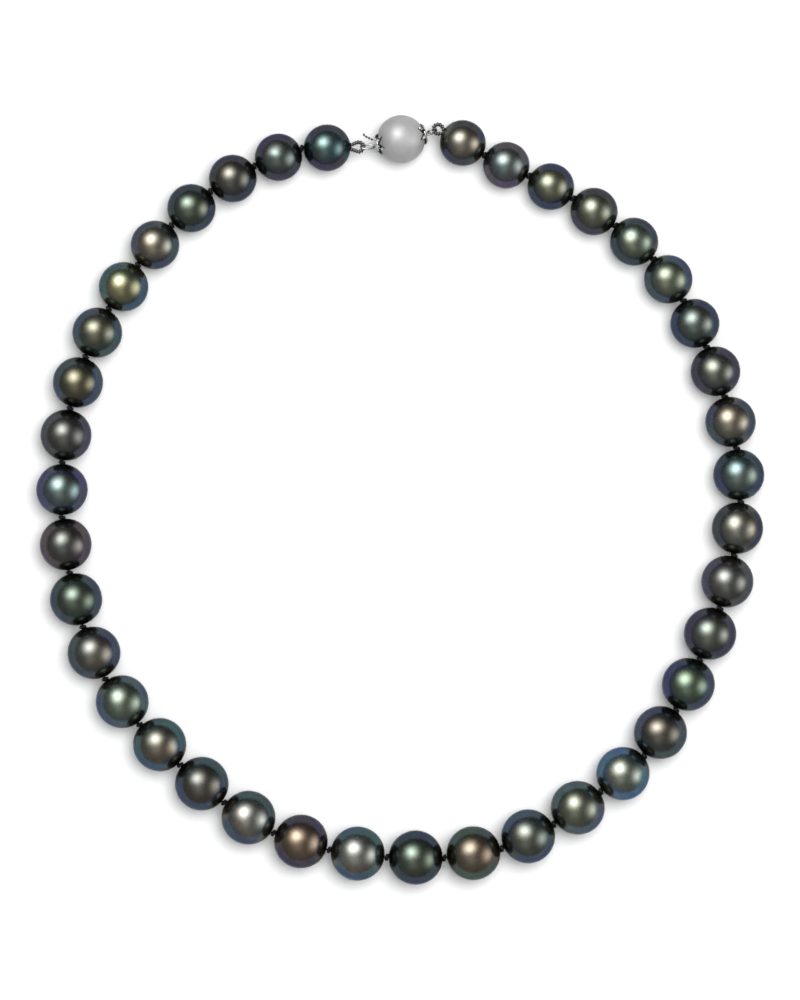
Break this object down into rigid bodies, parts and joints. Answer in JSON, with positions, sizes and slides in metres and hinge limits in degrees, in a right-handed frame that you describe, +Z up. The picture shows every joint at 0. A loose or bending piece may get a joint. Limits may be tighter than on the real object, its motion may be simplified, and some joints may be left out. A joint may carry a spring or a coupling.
{
  "type": "pearl necklace",
  "caption": "Graduated strand of dark pearls knotted on black silk, closed by a satin ball clasp with leaf caps and a spring tongue.",
  "frame": {"origin": "on the surface the strand lies on, under the middle of the laid-out loop's bounding box", "axes": "+Y towards the clasp, +X towards the ball's eye and the right-hand side, +Z up from the surface"},
  "size_m": [0.1472, 0.1555, 0.0109],
  "materials": {
    "nacre_peacock": "gloss",
    "nacre_slate": "gloss",
    "nacre_olive": "gloss",
    "nacre_bronze": "gloss",
    "nacre_taupe": "gloss",
    "nacre_pistachio": "gloss",
    "nacre_rose": "gloss",
    "nacre_silver": "gloss",
    "black_silk": "matte",
    "french_wire": "gloss",
    "satin_white_gold": "satin",
    "polished_white_gold": "polished"
  },
  "bodies": {
    "front_pearl": {"pearl_20": "nacre_pistachio", "silk_thread": "black_silk"},
    "pearl_21": {"pearl_21": "nacre_rose"},
    "pearl_22": {"pearl_22": "nacre_slate"},
    "pearl_23": {"pearl_23": "nacre_bronze"},
    "pearl_24": {"pearl_24": "nacre_silver"},
    "pearl_25": {"pearl_25": "nacre_bronze"},
    "pearl_26": {"pearl_26": "nacre_peacock"},
    "pearl_27": {"pearl_27": "nacre_slate"},
    "pearl_28": {"pearl_28": "nacre_rose"},
    "pearl_29": {"pearl_29": "nacre_taupe"},
    "pearl_30": {"pearl_30": "nacre_slate"},
    "pearl_31": {"pearl_31": "nacre_bronze"},
    "pearl_32": {"pearl_32": "nacre_slate"},
    "pearl_33": {"pearl_33": "nacre_silver"},
    "pearl_34": {"pearl_34": "nacre_silver"},
    "pearl_35": {"pearl_35": "nacre_olive"},
    "pearl_36": {"pearl_36": "nacre_bronze"},
    "pearl_37": {"pearl_37": "nacre_olive"},
    "pearl_38": {"pearl_38": "nacre_silver"},
    "pearl_39": {"pearl_39": "nacre_taupe", "french_wire_right": "french_wire"},
    "link_right": {"link_right": "polished_white_gold"},
    "ball": {"ball_shell_slotted": "satin_white_gold", "ball_shell_closed": "satin_white_gold", "catch_plate": "polished_white_gold", "leaf_cap_left": "polished_white_gold", "leaf_cap_right": "polished_white_gold", "ball_eye": "polished_white_gold"},
    "pearl_19": {"pearl_19": "nacre_taupe"},
    "pearl_18": {"pearl_18": "nacre_rose"},
    "pearl_17": {"pearl_17": "nacre_slate"},
    "pearl_16": {"pearl_16": "nacre_bronze"},
    "pearl_15": {"pearl_15": "nacre_bronze"},
    "pearl_14": {"pearl_14": "nacre_pistachio"},
    "pearl_13": {"pearl_13": "nacre_taupe"},
    "pearl_12": {"pearl_12": "nacre_olive"},
    "pearl_11": {"pearl_11": "nacre_rose"},
    "pearl_10": {"pearl_10": "nacre_peacock"},
    "pearl_09": {"pearl_09": "nacre_taupe"},
    "pearl_08": {"pearl_08": "nacre_olive"},
    "pearl_07": {"pearl_07": "nacre_bronze"},
    "pearl_06": {"pearl_06": "nacre_pistachio"},
    "pearl_05": {"pearl_05": "nacre_taupe"},
    "pearl_04": {"pearl_04": "nacre_olive"},
    "pearl_03": {"pearl_03": "nacre_olive"},
    "pearl_02": {"pearl_02": "nacre_slate"},
    "pearl_01": {"pearl_01": "nacre_peacock", "french_wire_left": "french_wire"},
    "link_left": {"link_left": "polished_white_gold"},
    "tongue": {"tongue_plate": "polished_white_gold"},
    "tongue_spring": {"tongue_spring": "polished_white_gold"}
  },
  "joints": [
    {"name": "strand_open", "type": "hinge", "parent": "front_pearl", "child": "pearl_21", "pos_m": [0.00907, -0.07235, 0.00545], "axis": [0, 0, -1], "range_deg": [0, 7], "deforming": ["silk_thread", "tongue_spring"]},
    {"name": "knot_21_bend", "type": "hinge", "parent": "pearl_21", "child": "pearl_22", "pos_m": [0.02066, -0.07044, 0.00544], "axis": [0, 0, -1], "range_deg": [0, 7.31]},
    {"name": "knot_22_bend", "type": "hinge", "parent": "pearl_22", "child": "pearl_23", "pos_m": [0.03121, -0.06549, 0.00542], "axis": [0, 0, -1], "range_deg": [0, 7.57]},
    {"name": "knot_23_bend", "type": "hinge", "parent": "pearl_23", "child": "pearl_24", "pos_m": [0.04068, -0.05892, 0.0054], "axis": [0, 0, -1], "range_deg": [0, 7.81]},
    {"name": "knot_24_bend", "type": "hinge", "parent": "pearl_24", "child": "pearl_25", "pos_m": [0.04947, -0.05166, 0.00537], "axis": [0, 0, -1], "range_deg": [0, 8.03]},
    {"name": "knot_25_bend", "type": "hinge", "parent": "pearl_25", "child": "pearl_26", "pos_m": [0.05587, -0.04235, 0.00533], "axis": [0, 0, -1], "range_deg": [0, 8.19]},
    {"name": "knot_26_bend", "type": "hinge", "parent": "pearl_26", "child": "pearl_27", "pos_m": [0.06066, -0.03219, 0.00529], "axis": [0, 0, -1], "range_deg": [0, 8.31]},
    {"name": "knot_27_bend", "type": "hinge", "parent": "pearl_27", "child": "pearl_28", "pos_m": [0.06473, -0.02181, 0.00525], "axis": [0, 0, -1], "range_deg": [0, 8.41]},
    {"name": "knot_28_bend", "type": "hinge", "parent": "pearl_28", "child": "pearl_29", "pos_m": [0.0676, -0.01113, 0.0052], "axis": [0, 0, -1], "range_deg": [0, 8.48]},
    {"name": "knot_29_bend", "type": "hinge", "parent": "pearl_29", "child": "pearl_30", "pos_m": [0.06889, -0.00025, 0.00515], "axis": [0, 0, -1], "range_deg": [0, 8.52]},
    {"name": "knot_30_bend", "type": "hinge", "parent": "pearl_30", "child": "pearl_31", "pos_m": [0.06805, 0.01058, 0.00509], "axis": [0, 0, -1], "range_deg": [0, 8.5]},
    {"name": "knot_31_bend", "type": "hinge", "parent": "pearl_31", "child": "pearl_32", "pos_m": [0.06562, 0.02104, 0.00503], "axis": [0, 0, -1], "range_deg": [0, 8.44]},
    {"name": "knot_32_bend", "type": "hinge", "parent": "pearl_32", "child": "pearl_33", "pos_m": [0.06195, 0.03101, 0.00497], "axis": [0, 0, -1], "range_deg": [0, 8.34]},
    {"name": "knot_33_bend", "type": "hinge", "parent": "pearl_33", "child": "pearl_34", "pos_m": [0.05727, 0.04042, 0.00491], "axis": [0, 0, -1], "range_deg": [0, 8.23]},
    {"name": "knot_34_bend", "type": "hinge", "parent": "pearl_34", "child": "pearl_35", "pos_m": [0.05119, 0.04884, 0.00485], "axis": [0, 0, -1], "range_deg": [0, 8.07]},
    {"name": "knot_35_bend", "type": "hinge", "parent": "pearl_35", "child": "pearl_36", "pos_m": [0.04349, 0.05562, 0.00479], "axis": [0, 0, -1], "range_deg": [0, 7.88]},
    {"name": "knot_36_bend", "type": "hinge", "parent": "pearl_36", "child": "pearl_37", "pos_m": [0.03493, 0.06106, 0.00473], "axis": [0, 0, -1], "range_deg": [0, 7.67]},
    {"name": "knot_37_bend", "type": "hinge", "parent": "pearl_37", "child": "pearl_38", "pos_m": [0.02601, 0.06564, 0.00468], "axis": [0, 0, -1], "range_deg": [0, 7.44]},
    {"name": "knot_38_bend", "type": "hinge", "parent": "pearl_38", "child": "pearl_39", "pos_m": [0.017, 0.0698, 0.00464], "axis": [0, 0, -1], "range_deg": [0, 7.21]},
    {"name": "link_right_in_loop", "type": "hinge", "parent": "pearl_39", "child": "link_right", "pos_m": [0.00737, 0.07488, 0.00475], "axis": [0, 0, -1], "range_deg": [-6.78, 0]},
    {"name": "ball_on_link", "type": "hinge", "parent": "link_right", "child": "ball", "pos_m": [0.00567, 0.07422, 0.00487], "axis": [0, 0, -1], "range_deg": [-6.78, 0]},
    {"name": "knot_19_bend", "type": "hinge", "parent": "front_pearl", "child": "pearl_19", "pos_m": [-0.00273, -0.0722, 0.00546], "axis": [0, 0, 1], "range_deg": [0, 6.72]},
    {"name": "knot_18_bend", "type": "hinge", "parent": "pearl_19", "child": "pearl_18", "pos_m": [-0.01441, -0.07072, 0.00545], "axis": [0, 0, 1], "range_deg": [0, 6.43]},
    {"name": "knot_17_bend", "type": "hinge", "parent": "pearl_18", "child": "pearl_17", "pos_m": [-0.02565, -0.06727, 0.00544], "axis": [0, 0, 1], "range_deg": [0, 6.14]},
    {"name": "knot_16_bend", "type": "hinge", "parent": "pearl_17", "child": "pearl_16", "pos_m": [-0.03562, -0.06113, 0.00542], "axis": [0, 0, 1], "range_deg": [0, 5.89]},
    {"name": "knot_15_bend", "type": "hinge", "parent": "pearl_16", "child": "pearl_15", "pos_m": [-0.04446, -0.05352, 0.0054], "axis": [0, 0, 1], "range_deg": [0, 5.67]},
    {"name": "knot_14_bend", "type": "hinge", "parent": "pearl_15", "child": "pearl_14", "pos_m": [-0.0527, -0.04536, 0.00537], "axis": [0, 0, 1], "range_deg": [0, 5.46]},
    {"name": "knot_13_bend", "type": "hinge", "parent": "pearl_14", "child": "pearl_13", "pos_m": [-0.05961, -0.03613, 0.00533], "axis": [0, 0, 1], "range_deg": [0, 5.29]},
    {"name": "knot_12_bend", "type": "hinge", "parent": "pearl_13", "child": "pearl_12", "pos_m": [-0.0641, -0.02561, 0.00529], "axis": [0, 0, 1], "range_deg": [0, 5.17]},
    {"name": "knot_11_bend", "type": "hinge", "parent": "pearl_12", "child": "pearl_11", "pos_m": [-0.06682, -0.0146, 0.00525], "axis": [0, 0, 1], "range_deg": [0, 5.1]},
    {"name": "knot_10_bend", "type": "hinge", "parent": "pearl_11", "child": "pearl_10", "pos_m": [-0.06832, -0.00345, 0.0052], "axis": [0, 0, 1], "range_deg": [0, 5.07]},
    {"name": "knot_09_bend", "type": "hinge", "parent": "pearl_10", "child": "pearl_09", "pos_m": [-0.06832, 0.00768, 0.00515], "axis": [0, 0, 1], "range_deg": [0, 5.07]},
    {"name": "knot_08_bend", "type": "hinge", "parent": "pearl_09", "child": "pearl_08", "pos_m": [-0.06668, 0.01858, 0.00509], "axis": [0, 0, 1], "range_deg": [0, 5.11]},
    {"name": "knot_07_bend", "type": "hinge", "parent": "pearl_08", "child": "pearl_07", "pos_m": [-0.06353, 0.02902, 0.00504], "axis": [0, 0, 1], "range_deg": [0, 5.19]},
    {"name": "knot_06_bend", "type": "hinge", "parent": "pearl_07", "child": "pearl_06", "pos_m": [-0.05884, 0.03872, 0.00498], "axis": [0, 0, 1], "range_deg": [0, 5.31]},
    {"name": "knot_05_bend", "type": "hinge", "parent": "pearl_06", "child": "pearl_05", "pos_m": [-0.05294, 0.04758, 0.00493], "axis": [0, 0, 1], "range_deg": [0, 5.45]},
    {"name": "knot_04_bend", "type": "hinge", "parent": "pearl_05", "child": "pearl_04", "pos_m": [-0.04612, 0.05561, 0.00487], "axis": [0, 0, 1], "range_deg": [0, 5.63]},
    {"name": "knot_03_bend", "type": "hinge", "parent": "pearl_04", "child": "pearl_03", "pos_m": [-0.03826, 0.06243, 0.00482], "axis": [0, 0, 1], "range_deg": [0, 5.82]},
    {"name": "knot_02_bend", "type": "hinge", "parent": "pearl_03", "child": "pearl_02", "pos_m": [-0.02935, 0.06758, 0.00478], "axis": [0, 0, 1], "range_deg": [0, 6.05]},
    {"name": "knot_01_bend", "type": "hinge", "parent": "pearl_02", "child": "pearl_01", "pos_m": [-0.0198, 0.0711, 0.00474], "axis": [0, 0, 1], "range_deg": [0, 6.29]},
    {"name": "link_left_in_loop", "type": "hinge", "parent": "pearl_01", "child": "link_left", "pos_m": [-0.00796, 0.0714, 0.00481], "axis": [0, 0, 1], "range_deg": [-6.78, 0]},
    {"name": "tongue_on_link", "type": "hinge", "parent": "link_left", "child": "tongue", "pos_m": [-0.00516, 0.07141, 0.00487], "axis": [0, 0, 1], "range_deg": [-6.78, 0]},
    {"name": "release_tab", "type": "hinge", "parent": "tongue", "child": "tongue_spring", "pos_m": [-0.00042, 0.07254, 0.00487], "axis": [0, 0, 1], "range_deg": [0, 7], "stiffness_Nm_per_rad": 0.03}
  ],
  "couplings": [
    {"joint": "knot_21_bend", "follows": "strand_open", "ratio": 1.042},
    {"joint": "knot_22_bend", "follows": "strand_open", "ratio": 1.08},
    {"joint": "knot_23_bend", "follows": "strand_open", "ratio": 1.114},
    {"joint": "knot_24_bend", "follows": "strand_open", "ratio": 1.145},
    {"joint": "knot_25_bend", "follows": "strand_open", "ratio": 1.168},
    {"joint": "knot_26_bend", "follows": "strand_open", "ratio": 1.185},
    {"joint": "knot_27_bend", "follows": "strand_open", "ratio": 1.2},
    {"joint": "knot_28_bend", "follows": "strand_open", "ratio": 1.21},
    {"joint": "knot_29_bend", "follows": "strand_open", "ratio": 1.215},
    {"joint": "knot_30_bend", "follows": "strand_open", "ratio": 1.212},
    {"joint": "knot_31_bend", "follows": "strand_open", "ratio": 1.203},
    {"joint": "knot_32_bend", "follows": "strand_open", "ratio": 1.19},
    {"joint": "knot_33_bend", "follows": "strand_open", "ratio": 1.173},
    {"joint": "knot_34_bend", "follows": "strand_open", "ratio": 1.151},
    {"joint": "knot_35_bend", "follows": "strand_open", "ratio": 1.124},
    {"joint": "knot_36_bend", "follows": "strand_open", "ratio": 1.093},
    {"joint": "knot_37_bend", "follows": "strand_open", "ratio": 1.061},
    {"joint": "knot_38_bend", "follows": "strand_open", "ratio": 1.028},
    {"joint": "link_right_in_loop", "follows": "strand_open", "ratio": -0.967},
    {"joint": "ball_on_link", "follows": "strand_open", "ratio": -0.967},
    {"joint": "knot_19_bend", "follows": "strand_open", "ratio": 0.958},
    {"joint": "knot_18_bend", "follows": "strand_open", "ratio": 0.916},
    {"joint": "knot_17_bend", "follows": "strand_open", "ratio": 0.875},
    {"joint": "knot_16_bend", "follows": "strand_open", "ratio": 0.839},
    {"joint": "knot_15_bend", "follows": "strand_open", "ratio": 0.808},
    {"joint": "knot_14_bend", "follows": "strand_open", "ratio": 0.778},
    {"joint": "knot_13_bend", "follows": "strand_open", "ratio": 0.753},
    {"joint": "knot_12_bend", "follows": "strand_open", "ratio": 0.737},
    {"joint": "knot_11_bend", "follows": "strand_open", "ratio": 0.727},
    {"joint": "knot_10_bend", "follows": "strand_open", "ratio": 0.722},
    {"joint": "knot_09_bend", "follows": "strand_open", "ratio": 0.722},
    {"joint": "knot_08_bend", "follows": "strand_open", "ratio": 0.728},
    {"joint": "knot_07_bend", "follows": "strand_open", "ratio": 0.739},
    {"joint": "knot_06_bend", "follows": "strand_open", "ratio": 0.756},
    {"joint": "knot_05_bend", "follows": "strand_open", "ratio": 0.777},
    {"joint": "knot_04_bend", "follows": "strand_open", "ratio": 0.802},
    {"joint": "knot_03_bend", "follows": "strand_open", "ratio": 0.83},
    {"joint": "knot_02_bend", "follows": "strand_open", "ratio": 0.862},
    {"joint": "knot_01_bend", "follows": "strand_open", "ratio": 0.896},
    {"joint": "link_left_in_loop", "follows": "strand_open", "ratio": -0.967},
    {"joint": "tongue_on_link", "follows": "strand_open", "ratio": -0.967}
  ]
}
